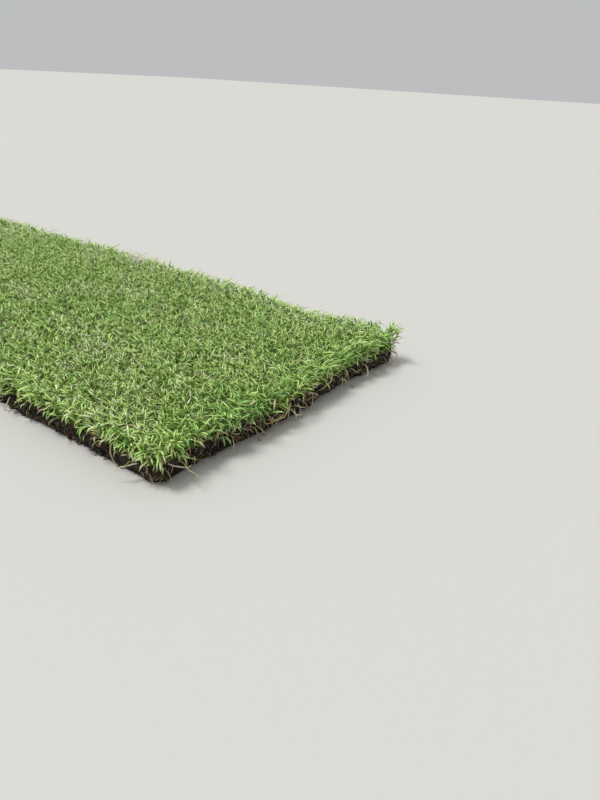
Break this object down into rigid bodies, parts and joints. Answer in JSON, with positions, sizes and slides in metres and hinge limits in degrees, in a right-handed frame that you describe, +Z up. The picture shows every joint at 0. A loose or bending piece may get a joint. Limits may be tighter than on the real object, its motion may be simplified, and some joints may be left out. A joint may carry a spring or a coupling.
{
  "type": "turf strip",
  "caption": "Unrolled strip of cut lawn turf lying flat: a thin mat of dark soil and roots with a dense mown sward of green blades that hangs over its hand-cut edges.",
  "frame": {"origin": "middle of the flat underside, on the ground", "axes": "+X along the strip, +Y across it to the side that draws in most, +Z up out of the grass"},
  "size_m": [2.2181, 0.473, 0.0586],
  "materials": {
    "soil": "damp crumbling soil with straw-coloured roots",
    "grass": "matt mown grass blades"
  },
  "bodies": {
    "root": {"root_mat": "soil", "grass_sward": "grass"}
  },
  "joints": []
}
